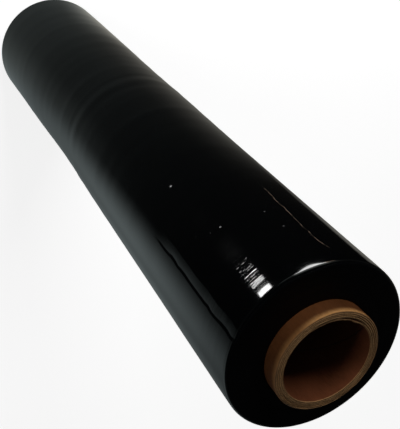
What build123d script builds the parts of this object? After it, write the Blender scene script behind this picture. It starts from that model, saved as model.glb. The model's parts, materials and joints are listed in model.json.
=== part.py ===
"""Stretch wrap roll: a long web of black film wound tightly on a paperboard core.

The roll stands on one end of its core. The origin is the centre of that end face,
and +Z runs along the roll's axis. Units are millimetres.
"""

import os

from build123d import *

# Core: a spiral-wound paperboard tube that sticks out of the film at both ends.
CORE_BORE_RADIUS = 25.0
CORE_WALL = 5.0
CORE_OVERHANG = 10.5
CORE_EDGE_BREAK = 0.5

# Film: every turn of the web, pressed into one body.
FILM_WIDTH = 500.0
FILM_END_RADIUS = 51.6
FILM_EDGE_ROUNDING = 1.5

# The winding is slack below its middle, so its outline has a gentle waist there.
# Each pair is (fraction of the film's width, depth of the surface below the ends' radius).
WAIST = (
    (0.0, 0.0),
    (0.22, 0.6),
    (0.4, 1.6),
    (0.6, 1.1),
    (0.8, 0.5),
    (1.0, 0.0),
)

CORE_RADIUS = CORE_BORE_RADIUS + CORE_WALL
CORE_LENGTH = FILM_WIDTH + 2 * CORE_OVERHANG
FILM_BOTTOM = CORE_OVERHANG
FILM_TOP = CORE_OVERHANG + FILM_WIDTH


os.makedirs("parts", exist_ok=True)


# Core tube: one glued board tube, its cut edges slightly rubbed off inside and out.
with BuildPart() as core_tube:
    with BuildSketch(Plane.XY):
        Circle(CORE_RADIUS)
        Circle(CORE_BORE_RADIUS, mode=Mode.SUBTRACT)
    extrude(amount=CORE_LENGTH)
    chamfer(core_tube.edges().filter_by(GeomType.CIRCLE), length=CORE_EDGE_BREAK)

core_tube.part.label = "core_tube"
export_step(core_tube.part, "parts/core_tube.step")


# Film winding: half of its lengthwise section is drawn against the core, then turned
# round the axis. The outer line is the waisted outline; the two end faces are flat.
waisted_outline = [
    (FILM_END_RADIUS - depth, FILM_BOTTOM + share * FILM_WIDTH) for share, depth in WAIST
]

with BuildPart() as film_winding:
    with BuildSketch(Plane.XZ):
        with BuildLine():
            Spline(*waisted_outline)
            Polyline(
                waisted_outline[-1],
                (CORE_RADIUS, FILM_TOP),
                (CORE_RADIUS, FILM_BOTTOM),
                waisted_outline[0],
            )
        make_face()
    revolve(axis=Axis.Z)
    rim_edges = film_winding.edges().filter_by(
        lambda edge: edge.geom_type == GeomType.CIRCLE and edge.radius > CORE_RADIUS + 1
    )
    fillet(rim_edges, radius=FILM_EDGE_ROUNDING)

film_winding.part.label = "film_winding"
export_step(film_winding.part, "parts/film_winding.step")
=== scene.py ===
"""Looks of the stretch wrap roll: black film wound on a board core, standing on one end."""

import json
import math

import bmesh
import bpy
from mathutils import Euler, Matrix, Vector, noise


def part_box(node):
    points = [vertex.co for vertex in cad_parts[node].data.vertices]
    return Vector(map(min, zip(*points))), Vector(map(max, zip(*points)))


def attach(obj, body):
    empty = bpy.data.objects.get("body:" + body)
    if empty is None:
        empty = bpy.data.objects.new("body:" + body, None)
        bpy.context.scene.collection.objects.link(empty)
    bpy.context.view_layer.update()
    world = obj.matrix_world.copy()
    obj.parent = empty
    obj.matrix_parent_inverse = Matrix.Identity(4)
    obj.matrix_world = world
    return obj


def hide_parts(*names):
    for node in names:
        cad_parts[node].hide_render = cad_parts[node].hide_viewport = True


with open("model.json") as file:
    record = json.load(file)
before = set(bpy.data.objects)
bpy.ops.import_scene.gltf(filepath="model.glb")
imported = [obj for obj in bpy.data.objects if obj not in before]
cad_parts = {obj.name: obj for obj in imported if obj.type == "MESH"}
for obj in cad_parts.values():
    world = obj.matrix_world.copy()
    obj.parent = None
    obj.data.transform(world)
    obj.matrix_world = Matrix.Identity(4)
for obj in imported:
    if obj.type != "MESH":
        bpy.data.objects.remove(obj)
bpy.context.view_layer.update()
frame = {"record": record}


# ---------------------------------------------------------------------------------------
# Core tube. Five plies of brown board are wound in a spiral, glued, and sawn to length.
# The saw leaves the plies showing at the ends, a little fuzzy, and the innermost ply has
# come unglued along part of the upper end. The rims are rubbed round and paler, and the
# outer rim is painted paler still on the side towards the key lamp: a painted highlight.

MM = 0.001

core_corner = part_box("core_tube")[1]
core_radius = core_corner.x
core_length = core_corner.z
bore_radius = frame["record"]["mounts"][0]["dims"]["r_mm"] * MM
ply_count = 5
ply_thickness = (core_radius - bore_radius) / ply_count
ply_groove = 0.5 * MM
outer_rim_rounding = 0.9 * MM
core_steps = 192
# Where the innermost ply is loose: (angle, share of its lift, half width), in degrees.
loose_arcs = [(-153, 1.0, 17), (-116, 0.6, 13)]
curl_depth = 9 * MM


def arc_points(centre_r, centre_z, radius, start, end, count):
    """Points along an arc in the (r, z) plane, angles in degrees from +r towards +z."""
    points = []
    for k in range(count):
        turn = math.radians(start + (end - start) * k / (count - 1))
        points.append((centre_r + radius * math.cos(turn), centre_z + radius * math.sin(turn)))
    return points


def turned(outline, steps):
    """A closed ring: the closed outline of (r, z) points spun once round the Z axis."""
    bm = bmesh.new()
    verts = [bm.verts.new((r, 0, z)) for r, z in outline]
    edges = [bm.edges.new((a, b)) for a, b in zip(verts, verts[1:] + verts[:1])]
    bmesh.ops.spin(
        bm, geom=verts + edges, axis=(0, 0, 1), cent=(0, 0, 0), dvec=(0, 0, 0),
        angle=math.tau, steps=steps, use_merge=True, use_duplicate=False,
    )
    bmesh.ops.remove_doubles(bm, verts=bm.verts, dist=1e-7)
    bmesh.ops.recalc_face_normals(bm, faces=bm.faces)
    if bm.calc_volume(signed=True) < 0:
        bmesh.ops.reverse_faces(bm, faces=bm.faces)
    return bm


def ease(low, high, value):
    """0 below low, 1 above high, and a smooth rise between them."""
    share = min(1.0, max(0.0, (value - low) / (high - low)))
    return share * share * (3 - 2 * share)


def around(angle, centre):
    """How far angle is from centre, the short way round, in degrees."""
    return (angle - centre + 180) % 360 - 180


def unwrap(bm):
    """A UV map that unrolls the surface: u is turns round the axis, v is height in metres."""
    layer = bm.loops.layers.uv.new("unrolled")
    for face in bm.faces:
        middle = face.calc_center_median()
        centre = math.atan2(middle.y, middle.x)
        for loop in face.loops:
            point = loop.vert.co
            lag = math.atan2(point.y, point.x) - centre
            lag = (lag + math.pi) % math.tau - math.pi
            loop[layer].uv = ((centre + lag) / math.tau, point.z)


def finish_mesh(bm, name):
    """Writes the mesh, smooth shaded, to a new object at the origin."""
    for face in bm.faces:
        face.smooth = True
    mesh = bpy.data.meshes.new(name)
    bm.to_mesh(mesh)
    bm.free()
    piece = bpy.data.objects.new(name, mesh)
    bpy.context.scene.collection.objects.link(piece)
    return piece


def sawn_end():
    """Cut end of the tube from bore to outside, as (r, distance below the end) points."""
    points = [(bore_radius, 0.9 * MM), (bore_radius, 0.45 * MM), (bore_radius + 0.1 * MM, 0.12 * MM)]
    for ply in range(ply_count):
        inner = bore_radius + ply * ply_thickness
        points.append((inner + 0.3 * ply_thickness, 0.0))
        points.append((inner + 0.7 * ply_thickness, 0.0))
        if ply < ply_count - 1:
            points.append((inner + 0.92 * ply_thickness, 0.1 * MM))
            points.append((inner + ply_thickness, ply_groove))
            points.append((inner + 1.08 * ply_thickness, 0.1 * MM))
    points.pop()
    rim_centre = core_radius - outer_rim_rounding
    points += [
        (r, outer_rim_rounding - z)
        for r, z in arc_points(rim_centre, 0, outer_rim_rounding, 80, 0, 7)
    ]
    return points


core_end = sawn_end()
outer_rows = [2.2, 3.5, 5, 7, 9, 11]
bore_rows = [1.6, 3, 5, 8, 12, 18, 26, 36, 50, 70, 100, 150, 200, 260]
core_outline = [(r, core_length - depth) for r, depth in core_end]
core_outline += [(core_radius, core_length - row * MM) for row in outer_rows]
core_outline += [(core_radius, row * MM) for row in reversed(outer_rows)]
core_outline += [(r, depth) for r, depth in reversed(core_end)]
core_outline += [(bore_radius, row * MM) for row in bore_rows]
core_outline += [(bore_radius, core_length - row * MM) for row in reversed(bore_rows[:-1])]

core_bm = turned(core_outline, core_steps)
for vert in core_bm.verts:
    r = math.hypot(vert.co.x, vert.co.y)
    angle = math.degrees(math.atan2(vert.co.y, vert.co.x))
    outward = Vector((vert.co.x / r, vert.co.y / r, 0))
    from_end = min(vert.co.z, core_length - vert.co.z)
    upper = vert.co.z > core_length / 2
    side = 1 if upper else -1
    near_end = 1 - ease(0.5 * MM, 6 * MM, from_end)
    ply = min(ply_count - 1, max(0, int((r - bore_radius) / ply_thickness)))
    seed = Vector((vert.co.x, vert.co.y, ply * 0.03 + (0.5 if upper else 0)))
    fuzz = noise.noise(seed * 900) * 0.05 + noise.noise(seed * 260) * 0.10
    sink = noise.noise(seed * 60) * 0.12
    cut = 1 - ease(0.3 * MM, 1.0 * MM, from_end)
    vert.co.z += side * cut * (fuzz + sink - 0.1) * MM
    vert.co += outward * near_end * noise.noise(seed * 120) * 0.06 * MM
    loose = 0.0
    for arc_angle, share, half_width in loose_arcs:
        loose += share * math.exp(-((around(angle, arc_angle) / half_width) ** 2))
    if not upper:
        continue
    plies_in = (r - bore_radius) / ply_thickness
    if 0.95 < plies_in < 1.04:
        # The gap behind the loose ply.
        vert.co.z -= cut * loose * (3.2 + 1.6 * noise.noise(seed * 420)) * MM
    if plies_in < 0.95:
        curl = 1 - ease(0, curl_depth, from_end)
        vert.co -= outward * loose * curl * (1.1 + 0.7 * noise.noise(seed * 300)) * MM
        vert.co.z -= cut * loose * 0.35 * MM
unwrap(core_bm)
core = finish_mesh(core_bm, "core")


def node(tree, kind, **sockets):
    """Adds a shader node; each keyword sets an attribute or an input, by value or link."""
    made = tree.nodes.new(kind)
    for key, value in sockets.items():
        name = key.replace("_", " ")
        if hasattr(made, key) and key not in ("color", "width"):
            setattr(made, key, value)
            continue
        target = next(s for s in made.inputs if s.name.lower() == name.lower() and s.enabled)
        if isinstance(value, bpy.types.NodeSocket):
            tree.links.new(value, target)
        else:
            target.default_value = value
    return made


def maths(tree, operation, first, second=0.0, clamp=False):
    """One Math node: first OPERATION second, each a number or a link."""
    made = tree.nodes.new("ShaderNodeMath")
    made.operation = operation
    made.use_clamp = clamp
    for target, value in zip(made.inputs, (first, second)):
        if isinstance(value, bpy.types.NodeSocket):
            tree.links.new(value, target)
        else:
            target.default_value = value
    return made.outputs[0]


def product(tree, *values):
    """The product of some numbers and links."""
    made = values[0]
    for value in values[1:]:
        made = maths(tree, "MULTIPLY", made, value)
    return made


def total(tree, *values):
    """The sum of some numbers and links."""
    made = values[0]
    for value in values[1:]:
        made = maths(tree, "ADD", made, value)
    return made


def ramped(tree, value, low, high, start=0.0, end=1.0):
    """Value taken smoothly from start, at low, to end, at high, and held outside them."""
    made = node(tree, "ShaderNodeMapRange", interpolation_type="SMOOTHSTEP")
    for name, number in (("From Min", low), ("From Max", high), ("To Min", start), ("To Max", end)):
        made.inputs[name].default_value = number
    tree.links.new(value, made.inputs["Value"])
    return made.outputs["Result"]


def mixed(tree, factor, first, second, blend="MIX"):
    """Colour first blended towards second by factor."""
    made = tree.nodes.new("ShaderNodeMix")
    made.data_type = "RGBA"
    made.blend_type = blend
    for target, value in ((made.inputs[0], factor), (made.inputs[6], first), (made.inputs[7], second)):
        if isinstance(value, bpy.types.NodeSocket):
            tree.links.new(value, target)
        else:
            target.default_value = value if isinstance(value, float) else (*value, 1.0)
    return made.outputs[2]


def new_material(name):
    """A named node material with its Principled shader, tree and Object coordinates."""
    material = bpy.data.materials.new(name)
    material.use_nodes = True
    tree = material.node_tree
    shader = tree.nodes["Principled BSDF"]
    coordinates = tree.nodes.new("ShaderNodeTexCoord")
    return material, tree, shader, coordinates


def axis_distance(tree, position):
    """Distance of the shaded point from the Z axis."""
    flat = node(tree, "ShaderNodeVectorMath", operation="MULTIPLY")
    tree.links.new(position, flat.inputs[0])
    flat.inputs[1].default_value = (1, 1, 0)
    length = node(tree, "ShaderNodeVectorMath", operation="LENGTH")
    tree.links.new(flat.outputs[0], length.inputs[0])
    return length.outputs["Value"]


def stretched_noise(tree, position, scale, detail=3.0, roughness=0.5):
    """Noise squeezed or drawn out along each axis by scale; its value, 0 to 1."""
    mapping = node(tree, "ShaderNodeMapping", Vector=position)
    mapping.inputs["Scale"].default_value = scale
    cloud = node(tree, "ShaderNodeTexNoise", Vector=mapping.outputs[0], Scale=1.0, Detail=detail)
    cloud.inputs["Roughness"].default_value = roughness
    return cloud.outputs["Fac"]


board_outside = (0.060, 0.0215, 0.0072)
board_inside = (0.082, 0.0265, 0.0115)
board_cut = (0.235, 0.130, 0.055)
# Pale rim colour: worn board, with a painted highlight in it.
board_worn_rim_highlight = (0.34, 0.172, 0.060)
seam_pitch = 0.118
seam_turn = 0.60

core_material, tree, board, place = new_material("brown_core_board")
position = place.outputs["Object"]
radius_here = axis_distance(tree, position)
split = node(tree, "ShaderNodeSeparateXYZ", Vector=position)
height = split.outputs["Z"]
from_middle = maths(tree, "ABSOLUTE", maths(tree, "SUBTRACT", height, core_length / 2))
from_end = maths(tree, "SUBTRACT", core_length / 2, from_middle)

is_outside = ramped(tree, radius_here, core_radius - 0.5 * MM, core_radius - 0.15 * MM)
is_cut = product(tree, ramped(tree, from_end, 0.25 * MM, 0.75 * MM, 1, 0),
               ramped(tree, radius_here, core_radius - 0.6 * MM, core_radius - 0.2 * MM, 1, 0))
mottle = stretched_noise(tree, position, (70, 70, 45), 5, 0.6)
fibre = stretched_noise(tree, position, (900, 900, 260), 3, 0.65)
# The paler band round the outer rim is partly wear and partly a painted highlight. It is full only on
# the side towards the key lamp, and fades to about a third elsewhere.
rim_band_reach = total(tree, from_end, product(tree, mottle, 3.0 * MM))
rim_wear_and_highlight = product(tree, ramped(tree, rim_band_reach, 1.2 * MM, 5.8 * MM, 1, 0), is_outside)
key_lit_side = total(tree, split.outputs["X"], split.outputs["Y"])
rim_wear_and_highlight = product(tree, rim_wear_and_highlight, ramped(tree, key_lit_side, -0.0424, -0.028, 1.0, 0.35))

wall_colour = mixed(tree, is_outside, board_inside, board_outside)
wall_colour = mixed(tree, rim_wear_and_highlight, wall_colour, board_worn_rim_highlight)
colour = mixed(tree, is_cut, wall_colour, board_cut)

# Plies: the glue line between two plies shows darker on the cut end.
ply_phase = maths(tree, "DIVIDE", maths(tree, "SUBTRACT", radius_here, bore_radius), ply_thickness)
ply_wobble = stretched_noise(tree, position, (130, 130, 30), 2)
ply_phase = total(tree, ply_phase, product(tree, ply_wobble, 0.25))
to_glue = maths(tree, "ABSOLUTE", maths(tree, "SUBTRACT", maths(tree, "FRACT", ply_phase), 0.5))
glue_line = product(tree, ramped(tree, to_glue, 0.08, 0.26, 1, 0), is_cut)
ply_place = node(tree, "ShaderNodeCombineXYZ", X=radius_here)
ply_tone = stretched_noise(tree, ply_place.outputs[0], (700, 1, 1), 1)
spot_noise = stretched_noise(tree, position, (1300, 1300, 500), 3, 0.7)
pale_plies = product(tree, ramped(tree, ply_tone, 0.42, 0.60), product(tree, is_cut, 0.45))
colour = mixed(tree, pale_plies, colour, (0.30, 0.185, 0.085))
# Random darker spots on the cut ends.
dark_spots = product(tree, ramped(tree, spot_noise, 0.50, 0.66), product(tree, is_cut, 0.65))
colour = mixed(tree, dark_spots, colour, (0.060, 0.032, 0.014))
colour = mixed(tree, product(tree, glue_line, 0.80), colour, (0.040, 0.020, 0.009))

# Spiral seam: where the edges of the face ply meet, a thin dark line climbs the tube.
unrolled = node(tree, "ShaderNodeUVMap", uv_map="unrolled")
turns = node(tree, "ShaderNodeSeparateXYZ", Vector=unrolled.outputs["UV"])
climb = maths(tree, "DIVIDE", turns.outputs["Y"], seam_pitch)
climb = maths(tree, "SUBTRACT", climb, turns.outputs["X"])
climb = maths(tree, "FRACT", total(tree, climb, 8 + seam_turn))
to_seam = maths(tree, "ABSOLUTE", maths(tree, "SUBTRACT", climb, 0.5))
seam = product(tree, ramped(tree, to_seam, 0.002, 0.006, 1, 0),
             maths(tree, "SUBTRACT", 1.0, is_cut))
colour = mixed(tree, product(tree, seam, 0.6), colour, (0.030, 0.014, 0.007))

shade = total(tree, product(tree, mottle, 0.9), product(tree, fibre, 0.5))
brightness = ramped(tree, shade, 0.35, 1.05, 0.72, 1.28)
tone = node(tree, "ShaderNodeHueSaturation", Color=colour, Value=brightness)
tree.links.new(tone.outputs[0], board.inputs["Base Color"])
tree.links.new(ramped(tree, mottle, 0.3, 0.7, 0.50, 0.68), board.inputs["Roughness"])
board.inputs["Specular IOR Level"].default_value = 0.22
relief = maths(tree, "SUBTRACT", fibre, product(tree, seam, 2.0))
bump = node(tree, "ShaderNodeBump", Height=relief, Strength=0.7, Distance=0.00018)
tree.links.new(bump.outputs[0], board.inputs["Normal"])

core.data.materials.append(core_material)
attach(core, "root")
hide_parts("core_tube")


# ---------------------------------------------------------------------------------------
# Film winding. One long web of thin black polyethylene, stretched as it was wound, so
# every turn clings to the one below. The turns neck in at a slack waist and swell at both
# ends; tension draws fine ridges round the roll, and the web's loose end lies on one side.

film_low, film_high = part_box("film_winding")
film_bottom, film_top = film_low.z, film_high.z
film_width = film_top - film_bottom
film_end_radius = 51.75 * MM
shoulder = 2.2 * MM
film_steps = 300

bow_depth = 1.1 * MM
waist_depth = 0.75 * MM
waist_height = 0.205
waist_reach_below = 0.060
waist_reach_above = 0.040
# The turns also lean a little to one side: one way about the waist, the other at the foot.
lean_at_waist = -0.62 * MM
lean_height = 0.215
lean_reach = 0.075
lean_at_foot = 0.6 * MM
foot_reach = 0.080

# Ridges that run right round the roll: (height, rise, half width) in millimetres.
round_ridges = [
    (34, 0.07, 5), (71, -0.10, 6), (97, 0.10, 3.5), (128, 0.09, 7), (150, 0.06, 3), (163, -0.11, 4),
    (186, 0.10, 3.5), (214, 0.16, 4), (228, -0.08, 2.5), (237, -0.20, 3.2), (247, 0.18, 3),
    (257, -0.12, 3), (276, 0.07, 3), (304, 0.14, 4), (318, -0.06, 3),
    (333, -0.05, 5), (371, 0.05, 4), (412, -0.05, 5), (447, 0.03, 4),
]


# The upper edge is slacker over a short arc on the left, and rounds off earlier there.
slack_angle = -117.5
slack_reach = 11.5
slack_from = 0.4995
slack_drop = 1.2 * MM
# All round, the last turns' edges lean in a little before the shoulder.
lean_in_from = 0.4995
lean_in = 0.16 * MM


def film_radius(z, angle):
    """Radius of the winding before its fine ripples, at a height and an angle in degrees."""
    share = (z - film_bottom) / film_width
    reach = waist_reach_below if z < waist_height else waist_reach_above
    radius = film_end_radius - bow_depth * math.sin(math.pi * share)
    radius -= waist_depth * math.exp(-(((z - waist_height) / reach) ** 2))
    lean = lean_at_waist * math.exp(-(((z - lean_height) / lean_reach) ** 2))
    lean += lean_at_foot * max(0.0, 1 - z / foot_reach) ** 2
    slack = math.exp(-((around(angle, slack_angle) / slack_reach) ** 2))
    radius -= slack * slack_drop * max(0.0, (z - slack_from) / (film_top - slack_from)) ** 2
    radius -= lean_in * max(0.0, (z - lean_in_from) / (film_top - lean_in_from)) ** 2
    return radius + lean * math.cos(math.radians(angle))


def rows_between(start, end, count):
    """Evenly spaced heights from start to end, the end left out."""
    return [start + (end - start) * k / count for k in range(count)]


# The rows stand closest near the upper edge, and furthest apart between it and the foot.
upper_edge_from = 0.470
foot_up_to = film_bottom + 0.030
side_rows = rows_between(film_top - shoulder, upper_edge_from, 32)
side_rows += rows_between(upper_edge_from, foot_up_to, 136)
side_rows += rows_between(foot_up_to, film_bottom + shoulder, 12)
side_rows.append(film_bottom + shoulder)

face_radii = [30, 31, 32.5, 34, 35.5, 37, 38.5, 40, 41.5, 43, 44.5, 46, 47, 48, 48.8, 49.4]
rim_r = film_end_radius - shoulder
film_outline = [(r * MM, film_top) for r in face_radii]
film_outline += arc_points(rim_r, film_top - shoulder, shoulder, 90, 8, 9)
film_outline += [(film_end_radius, z) for z in side_rows]
film_outline += arc_points(rim_r, film_bottom + shoulder, shoulder, -8, -90, 9)
film_outline += [(r * MM, film_bottom) for r in reversed(face_radii)]
film_bm = turned(film_outline, film_steps)


def cut_lengthwise(bm, angle):
    """Adds one straight edge line down the roll at this angle, in degrees."""
    turn = math.radians(angle)
    outward = Vector((math.cos(turn), math.sin(turn), 0))
    across = Vector((-math.sin(turn), math.cos(turn), 0))
    near = [f for f in bm.faces if f.calc_center_median().normalized().dot(outward) > 0
            and abs(f.calc_center_median().dot(across)) < 3 * MM]
    geom = list({v for f in near for v in f.verts} | {e for f in near for e in f.edges}) + near
    bmesh.ops.bisect_plane(bm, geom=geom, dist=1e-6, plane_co=(0, 0, 0), plane_no=across)


# The loose end of the web: its edge stands proud near the top, and a crease runs beside it.
tail_edge = -65.6
tail_crease = -59.2
tail_lift = 0.12 * MM
tail_from = 0.408
crease_depth = 0.42 * MM
crease_width = 1.5
# A thin pleat catches the light on the other side.
pleat = -135.3
pleat_height = 0.22 * MM
pleat_low, pleat_high = 0.422, 0.5045

for line, offsets in (
    (tail_edge, (-0.4, -0.2, 0.0, 0.5)),
    (tail_crease, (-0.6, -0.25, 0.0, 0.3, 0.6, 0.9, 1.2, 1.55)),
    (pleat, (-0.9, -0.55, -0.3, -0.12, 0.12, 0.3, 0.55, 0.9)),
):
    for offset in offsets:
        cut_lengthwise(film_bm, line + offset)


def wander(z, seed, size):
    """A slow sideways drift along the roll, in degrees."""
    slow = noise.noise(Vector((z * 22, seed, 0)))
    quick = noise.noise(Vector((z * 75, seed, 3)))
    jagged = noise.noise(Vector((z * 230, seed, 9)))
    return size * (slow + 0.7 * quick + 0.3 * jagged)


def tail_height(angle, z):
    """Height of the loose end, which slopes from its edge down into the crease beside it."""
    opened = ease(tail_from, tail_from + 0.022, z)
    across = (around(angle, tail_edge)) / (tail_crease - tail_edge)
    if across < 0:
        return opened * tail_lift * ease(-0.03, 0.0, across)
    if across < 1:
        return opened * (tail_lift - (tail_lift + crease_depth) * across)
    return -opened * crease_depth * (1 - ease(0, crease_width, around(angle, tail_crease)))


def pleat_share(angle, z):
    """1 on the crest of the pleat, falling to 0 beside it and at its ends."""
    along = ease(pleat_low, pleat_low + 0.012, z) * (1 - ease(pleat_high - 0.010, pleat_high, z))
    return along * math.exp(-((around(angle, pleat) / 0.34) ** 2))


# The innermost turn isn't moved. Ripples die away over the ends and near the upper edge.
innermost_turn = 30.5 * MM
end_face_radius = 48 * MM
calm_from, calm_full = 0.455, 0.475
pale = film_bm.verts.layers.float.new("pleat")
for vert in film_bm.verts:
    x, y, z = vert.co
    r = math.hypot(x, y)
    angle = math.degrees(math.atan2(y, x))
    outward = Vector((x / r, y / r, 0))
    if r < innermost_turn:
        continue
    on_side = ease(end_face_radius, film_end_radius - 0.3 * MM, r)

    rise = film_radius(z, angle) - film_end_radius
    for ridge_height, ridge_rise, half_width in round_ridges:
        drift = 1.2 * noise.noise(outward * 0.9 + Vector((0, 0, ridge_height)))
        away = (z / MM - ridge_height - drift) / half_width
        if abs(away) < 3:
            swell = 0.7 + 0.6 * noise.noise(outward * 1.3 + Vector((5, 0, ridge_height)))
            rise += ridge_rise * swell * MM * math.exp(-away * away)
    band = Vector((outward.x * 0.8, outward.y * 0.8, z * 38))
    calm = 1 - 0.85 * ease(calm_from, calm_full, z)
    rise += calm * (0.05 * noise.noise(band) + 0.025 * noise.noise(band * 2.3)) * MM
    rise += 0.05 * MM * noise.noise(Vector((outward.x * 3, outward.y * 3, z * 6)))

    pleat_here = pleat_share(angle, z)
    rise += tail_height(angle, z) + pleat_height * pleat_here
    shift = 0.0
    shift += wander(z, 1, 1.0) * math.exp(-((around(angle, tail_edge) / 2.0) ** 2))
    shift += wander(z, 2, 1.9) * math.exp(-((around(angle, tail_crease) / 2.6) ** 2))
    shift += wander(z, 7, 3.2) * math.exp(-((around(angle, pleat) / 4.5) ** 2))
    turn = math.radians(angle + shift * on_side)
    new_r = r + rise * on_side
    vert.co.x = new_r * math.cos(turn)
    vert.co.y = new_r * math.sin(turn)
    vert[pale] = pleat_here * on_side

    # The ends: turns that crept a little past one another as they were wound.
    if on_side < 1:
        ring = noise.noise(Vector((r * 420, 0.3, 0))) * 0.16
        ring += noise.noise(Vector((r * 1300, 7, 0))) * 0.08
        ring += noise.noise(Vector((x * 30, y * 30, 2))) * 0.10
        side = 1 if z > film_width / 2 else -1
        vert.co.z += side * (1 - on_side) * (ring - 0.05) * MM * ease(31 * MM, 33 * MM, r)

unwrap(film_bm)
film = finish_mesh(film_bm, "film")

film_black = (0.0009, 0.0010, 0.0012)
# Pale brown of the pleat's crest: a painted highlight.
pleat_highlight_colour = (0.22, 0.165, 0.125)
speck_grey = (0.42, 0.42, 0.42)
# Small pale specks on the film: (angle in degrees, height in mm, radius in mm, paleness).
specks = [
    (-88.8, 392.0, 0.95, 1.0),
    (-94.9, 449.5, 0.75, 0.55),
    (-88.2, 448.0, 0.45, 0.06),
    (-80.0, 441.5, 0.45, 0.05),
    (-122.0, 455.0, 0.60, 0.25),
    (-124.0, 472.0, 0.60, 0.22),
    (60.0, 300.0, 0.70, 0.6),
    (20.0, 420.0, 0.60, 0.5),
    (120.0, 180.0, 0.80, 0.6),
]

film_material, tree, gloss, place = new_material("black_stretch_film")
position = place.outputs["Object"]
radius_here = axis_distance(tree, position)
split = node(tree, "ShaderNodeSeparateXYZ", Vector=position)
height = split.outputs["Z"]
from_middle = maths(tree, "ABSOLUTE", maths(tree, "SUBTRACT", height, (film_bottom + film_top) / 2))

# The pleat's crest is painted pale brown and broken in places: a painted highlight along it.
pleat_line = node(tree, "ShaderNodeAttribute", attribute_name="pleat").outputs["Fac"]
broken = stretched_noise(tree, position, (150, 150, 260), 3, 0.6)
pleat_breaks = ramped(tree, broken, 0.38, 0.62, 0.06, 1)
pleat_highlight_mask = product(tree, ramped(tree, pleat_line, 0.55, 0.95), pleat_breaks)
colour = mixed(tree, pleat_highlight_mask, film_black, pleat_highlight_colour)
for speck_angle, speck_height, speck_radius, paleness in specks:
    turn = math.radians(speck_angle)
    speck_z = speck_height * MM
    speck_r = film_radius(speck_z, speck_angle)
    spot = node(tree, "ShaderNodeVectorMath", operation="DISTANCE")
    tree.links.new(position, spot.inputs[0])
    spot.inputs[1].default_value = (speck_r * math.cos(turn), speck_r * math.sin(turn), speck_z)
    core_of_speck = 0.45 * speck_radius * MM
    inside = ramped(tree, spot.outputs["Value"], core_of_speck, speck_radius * MM, paleness, 0)
    colour = mixed(tree, inside, colour, speck_grey)
tree.links.new(colour, gloss.inputs["Base Color"])

smear = stretched_noise(tree, position, (14, 14, 40), 4, 0.6)
tree.links.new(ramped(tree, smear, 0.3, 0.75, 0.05, 0.11), gloss.inputs["Roughness"])
gloss.inputs["IOR"].default_value = 1.5
gloss.inputs["Specular IOR Level"].default_value = 0.5

# Stretch ridges: fine lines round the roll, stronger towards the web's edges.
edge_ridges_from = film_width / 2 - 0.038
edge_ridges_full = film_width / 2 - 0.030
to_edge = ramped(tree, from_middle, edge_ridges_from, edge_ridges_full, 0.18, 1.0)
flat_band = ramped(tree, height, film_top - 13.5 * MM, film_top - 9.5 * MM, 1.0, 0.10)
fine_ridges = stretched_noise(tree, position, (45, 45, 430), 3, 0.55)
broad_ridges = stretched_noise(tree, position, (5, 5, 170), 2, 0.5)
ridges = total(tree, product(tree, fine_ridges, 1.95), product(tree, broad_ridges, 0.6))
# They are weaker beyond a band down the front of the roll.
ridged_side = ramped(tree, split.outputs["X"], -0.034, -0.022, 0.30, 1.0)
ridged_side = product(tree, ridged_side, ramped(tree, split.outputs["X"], 0.016, 0.030, 1.0, 0.30))
ridges = product(tree, ridges, product(tree, to_edge, flat_band))
ridges = product(tree, ridges, ridged_side)
bump = node(tree, "ShaderNodeBump", Height=ridges, Strength=1.0, Distance=0.00006)
tree.links.new(bump.outputs[0], gloss.inputs["Normal"])

# The wound ends show the cut edges of every turn: dull, and ringed very finely.
ends_material, tree, dull, place = new_material("black_film_edges")
position = place.outputs["Object"]
radius_here = axis_distance(tree, position)
ring_place = node(tree, "ShaderNodeCombineXYZ", X=radius_here)
ring_lines = stretched_noise(tree, ring_place.outputs[0], (2600, 1, 1), 3, 0.7)
# The low rings, which the bump sinks, are painted darker: painted shade in the fine grooves.
groove_shade_black = (0.0008, 0.0009, 0.0012)
edge_black = (0.0026, 0.0027, 0.0031)
edge_colour = mixed(tree, ramped(tree, ring_lines, 0.3, 0.75), groove_shade_black, edge_black)
tree.links.new(edge_colour, dull.inputs["Base Color"])
dull.inputs["Roughness"].default_value = 0.48
dull.inputs["IOR"].default_value = 1.5
dull.inputs["Specular IOR Level"].default_value = 0.18
bump = node(tree, "ShaderNodeBump", Height=ring_lines, Strength=0.8, Distance=0.00006)
tree.links.new(bump.outputs[0], dull.inputs["Normal"])

film.data.materials.append(film_material)
film.data.materials.append(ends_material)
for face in film.data.polygons:
    past_middle = abs(face.center.z - (film_bottom + film_top) / 2)
    if past_middle > film_width / 2 - 0.25 * shoulder:
        face.material_index = 1
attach(film, "root")
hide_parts("film_winding")


# ---------------------------------------------------------------------------------------
# Studio floor. A plain pale floor that stays white behind the roll and keeps its shadow;
# part of its brightness is its own, for the camera, gloss and glass alike.

floor_bm = bmesh.new()
bmesh.ops.create_circle(floor_bm, cap_ends=True, segments=96, radius=14.0)
floor = finish_mesh(floor_bm, "floor")
floor_material, tree, paint, place = new_material("pale_floor")
paint.inputs["Roughness"].default_value = 1.0
paint.inputs["Specular IOR Level"].default_value = 0.0
cloud = stretched_noise(tree, place.outputs["Object"], (3, 3, 3), 2)
paint_colour = mixed(tree, ramped(tree, cloud, 0.3, 0.7), (0.54, 0.54, 0.54), (0.56, 0.56, 0.56))
tree.links.new(paint_colour, paint.inputs["Base Color"])
own_light_near = 0.79
own_light_far = 0.97


def seen_directly(tree):
    """1 for camera, glossy and transmission rays, 0 for the light that a floor throws back."""
    path = node(tree, "ShaderNodeLightPath")
    gloss_or_camera = total(tree, path.outputs["Is Camera Ray"], path.outputs["Is Glossy Ray"])
    return maths(tree, "ADD", gloss_or_camera, path.outputs["Is Transmission Ray"], clamp=True)


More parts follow.
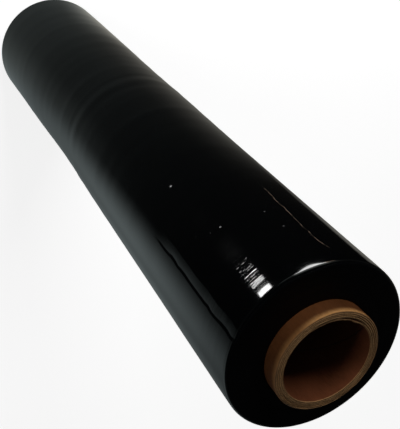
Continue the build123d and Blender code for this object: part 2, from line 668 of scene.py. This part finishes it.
paint.inputs["Emission Color"].default_value = (1, 1, 1, 1)
from_roll = axis_distance(tree, place.outputs["Object"])
own_light = ramped(tree, from_roll, 0.6, 2.8, own_light_near, own_light_far)
own_glow = product(tree, seen_directly(tree), own_light)
tree.links.new(own_glow, paint.inputs["Emission Strength"])
floor.data.materials.append(floor_material)

world = bpy.data.worlds.new("studio")
world.use_nodes = True
bpy.context.scene.world = world
tree = world.node_tree
sky = tree.nodes["Background"]
fill_level = 0.10
tree.links.new(ramped(tree, seen_directly(tree), 0, 1, fill_level, 1.0), sky.inputs["Strength"])
sky.inputs["Color"].default_value = (1, 1, 1, 1)
world.cycles.sampling_method = "NONE"


# ---------------------------------------------------------------------------------------
# Dark cards. Cards stand round and over the roll, seen only in reflections: mostly black, like
# flags round glossy goods in a studio, but with glowing panels, patches and strips on them
# that are painted reflections. So the film mirrors a dark room with soft panels in it.

def reflected_only(card):
    """Keeps a card out of sight and out of the light, but lets gloss see it."""
    card.visible_camera = False
    card.visible_diffuse = False
    card.visible_transmission = False
    card.visible_shadow = False
    card.visible_volume_scatter = False


def card_material(name):
    """A material that only glows, by an amount that the caller links in."""
    material = bpy.data.materials.new(name)
    material.use_nodes = True
    tree = material.node_tree
    tree.nodes.remove(tree.nodes["Principled BSDF"])
    glow = tree.nodes.new("ShaderNodeEmission")
    tree.links.new(glow.outputs[0], tree.nodes["Material Output"].inputs["Surface"])
    return material, tree, glow


def front_bearing(tree, position):
    """Bearing of a point from straight in front of the roll, in degrees, positive to the right."""
    split = node(tree, "ShaderNodeSeparateXYZ", Vector=position)
    forward = product(tree, split.outputs["Y"], -1.0)
    bearing = product(tree, maths(tree, "ARCTAN2", split.outputs["X"], forward), 180 / math.pi)
    return bearing, split.outputs["Z"]


def spread(tree, value, rise, fall, top=1.0, after=0.0):
    """A patch that rises over the span rise to top, and falls over the span fall to after."""
    return product(tree, ramped(tree, value, *rise), ramped(tree, value, *fall, top, after))


card_radius = 3.2
warm_tint = (1.0, 0.97, 0.86)
cool_front_tint = (0.87, 1.0, 0.97)
cool_right_tint = (0.85, 1.0, 1.01)


def side_panels(tree, bearing):
    """Glow of the broad soft panels beside and behind the roll, by bearing from the front."""
    left = spread(tree, bearing, (-84, -62), (-56, -30), 0.32)
    right = spread(tree, bearing, (48, 94), (100, 150), 0.50, 0.18)
    behind_left = ramped(tree, bearing, -150, -126, 0.21, 0.03)
    return total(tree, left, right, behind_left)


def panel_tint(tree, bearing):
    """Colour of the panels: warm to the left and behind, cool in front and to the right."""
    tint = mixed(tree, ramped(tree, bearing, -110, -20), warm_tint, cool_front_tint)
    tint = mixed(tree, ramped(tree, bearing, 40, 90), tint, cool_right_tint)
    return mixed(tree, ramped(tree, bearing, 140, 178), tint, warm_tint)


dome_bm = bmesh.new()
bmesh.ops.create_uvsphere(dome_bm, u_segments=48, v_segments=24, radius=card_radius)
bmesh.ops.bisect_plane(dome_bm, geom=dome_bm.verts[:] + dome_bm.edges[:] + dome_bm.faces[:],
                       plane_co=(0, 0, 0), plane_no=(0, 0, 1), clear_inner=True)
dome = finish_mesh(dome_bm, "dark_tent")
dome_material, tree, glow = card_material("tent_reflection_glow")
where = node(tree, "ShaderNodeTexCoord").outputs["Object"]
bearing, height = front_bearing(tree, where)
lamp_tail = spread(tree, bearing, (-66, -60), (-42, -36))
panels = total(tree, side_panels(tree, bearing), lamp_tail)
panels = product(tree, panels, ramped(tree, height, 0.3, 1.6, 1.0, 0.0))
tree.links.new(panels, glow.inputs["Strength"])
tree.links.new(panel_tint(tree, bearing), glow.inputs["Color"])
dome.data.materials.append(dome_material)
reflected_only(dome)

ground_bm = bmesh.new()
bmesh.ops.create_circle(ground_bm, cap_ends=True, segments=96, radius=card_radius)
bmesh.ops.translate(ground_bm, verts=ground_bm.verts, vec=(0, 0, 0.5 * MM))
ground = finish_mesh(ground_bm, "dark_ground_card")
ground_material, tree, glow = card_material("ground_card_reflection_glow")
where = node(tree, "ShaderNodeTexCoord").outputs["Object"]
reach = axis_distance(tree, where)
bearing, _ = front_bearing(tree, where)
fading = maths(tree, "POWER", math.e, maths(tree, "DIVIDE", reach, -0.13))
near_glow = product(tree, fading, 0.21)

# Broad glows on both sides; the left one ends short of the right one.
behind_left = ramped(tree, bearing, -141, -134, 0.65, 0)
left_cut = maths(tree, "MAXIMUM", ramped(tree, reach, 0.20, 0.40, 1, 0), behind_left)
left_glow = product(tree, ramped(tree, bearing, -140, -60, 0.125, 0.0), left_cut)
right_side = spread(tree, bearing, (52, 94), (98, 126), 1, 0.49)
right_side = product(tree, right_side, ramped(tree, bearing, 126, 160, 1, 0.65))
right_reach = product(
    tree, ramped(tree, reach, 0.03, 0.33, 0, 0.41), ramped(tree, reach, 0.38, 0.60, 1, 0.68)
)
right_glow = product(tree, right_side, right_reach)

# Small patches: on both sides of the roll's foot, and a far one behind on the left.
foot_right = product(
    tree, ramped(tree, bearing, 15, 65, 0, 0.075), ramped(tree, bearing, 70, 110, 1, 0.2)
)
foot_right = product(tree, foot_right, ramped(tree, reach, 0.10, 0.30, 1, 0))
foot_left = spread(tree, bearing, (-175, -125), (-90, -45), 0.24)
foot_left = product(tree, foot_left, ramped(tree, reach, 0.045, 0.115, 1, 0))
foot_glow = total(tree, foot_right, foot_left)
back_left = ramped(tree, bearing, -141, -134, 0.12, 0)
back_glow = product(tree, back_left, ramped(tree, reach, 0.38, 0.52))
# Straight behind, the right side meets the level of the left.
back_right = ramped(tree, bearing, 140, 178, 0, 0.10)
behind_glow = product(tree, back_right, ramped(tree, reach, 0.40, 0.60))
level = total(tree, near_glow, left_glow, right_glow, foot_glow, back_glow, behind_glow)

# Further out, where only low views look, the ground takes up the tent's panels.
outer = ramped(tree, reach, 0.62, 2.4)
level = product(tree, level, maths(tree, "SUBTRACT", 1.0, outer))
level = total(tree, level, product(tree, side_panels(tree, bearing), outer))
tint = panel_tint(tree, bearing)

# A long low glowing band to the left, a painted lamp reflection for the film's rounded upper
# edge. Its left end is browner, and it tails off outwards to join the same strip on the tent.
lamp_white = (1.0, 1.0, 1.0)
lamp_brown = (1.0, 0.72, 0.52)
lamp_reach = spread(tree, reach, (0.98, 1.05), (1.55, 1.65))
white_part = spread(tree, bearing, (-66, -60), (-42, -36), 1, 0.04)
white_part = product(tree, white_part, ramped(tree, bearing, -24, -12, 1, 0))
brown_part = spread(tree, bearing, (-76, -71), (-66, -60))
lamp = total(tree, product(tree, white_part, 14.0), product(tree, brown_part, 1.5))
lamp_tail = product(tree, white_part, ramped(tree, reach, 1.50, 1.65))
level = total(tree, level, product(tree, lamp, lamp_reach), lamp_tail)
for part, colour in ((white_part, lamp_white), (brown_part, lamp_brown)):
    tint = mixed(tree, product(tree, lamp_reach, ramped(tree, part, 0, 0.5)), tint, colour)
tree.links.new(level, glow.inputs["Strength"])
tree.links.new(tint, glow.inputs["Color"])
ground.data.materials.append(ground_material)
reflected_only(ground)

# A small glowing strip low in front of the roll, seen only in reflections and lighting nothing, makes
# the bright patch by its upper edge: a painted reflection of a lamp.
strip_bm = bmesh.new()
bmesh.ops.create_grid(strip_bm, x_segments=1, y_segments=1, size=0.5)
strip_size = (0.17, 0.056, 1)
strip_place = (0.0, -0.600, 2 * MM)
bmesh.ops.scale(strip_bm, vec=strip_size, verts=strip_bm.verts)
bmesh.ops.translate(strip_bm, vec=strip_place, verts=strip_bm.verts)
strip = finish_mesh(strip_bm, "strip_lamp")
strip_material, tree, glow = card_material("strip_lamp_glow")
glow.inputs["Strength"].default_value = 26.0
strip.data.materials.append(strip_material)
reflected_only(strip)


# ---------------------------------------------------------------------------------------
# Lamps: a large soft key stands low on the left front, and a weaker fill low on the right
# front. The roll's gloss doesn't mirror them, since the cards make its reflections.

def soft_lamp(name, bearing, elevation, distance, size, watts, aim):
    """An area lamp at a bearing from +X and an elevation from the aim point, facing it."""
    lamp = bpy.data.lights.new(name, "AREA")
    lamp.shape = "RECTANGLE"
    lamp.size, lamp.size_y = size
    lamp.energy = watts
    stand = bpy.data.objects.new(name, lamp)
    bpy.context.scene.collection.objects.link(stand)
    a, e = math.radians(bearing), math.radians(elevation)
    out = Vector((math.cos(a) * math.cos(e), math.sin(a) * math.cos(e), math.sin(e)))
    stand.location = Vector(aim) + out * distance
    stand.rotation_euler = out.to_track_quat("Z", "Y").to_euler()
    stand.visible_camera = False
    stand.visible_glossy = False


soft_lamp("key_lamp", -141, 14, 1.5, (0.95, 0.60), 16.5, (0, 0, 0.5))
soft_lamp("fill_lamp", -60, 11, 1.9, (0.9, 0.4), 8.5, (0, 0, 0.45))


# ---------------------------------------------------------------------------------------
# Camera: in front of the roll and above it, looking down its length, and rolled so that
# the upper end comes towards the lower right of the frame.

camera_data = bpy.data.cameras.new("camera")
camera_data.sensor_width = 36.0
camera_data.lens = 65.92
camera = bpy.data.objects.new("camera", camera_data)
bpy.context.scene.collection.objects.link(camera)
camera.location = (0.0, -0.3162, 0.7653)
look_down = math.radians(51.65)
swing = math.radians(0.17)
roll = math.radians(138.5)
camera.rotation_euler = (
    Euler((math.pi / 2 - look_down, 0, swing)).to_matrix() @ Euler((0, 0, roll)).to_matrix()
).to_euler()
bpy.context.scene.camera = camera
bpy.context.scene.view_settings.view_transform = "Standard"
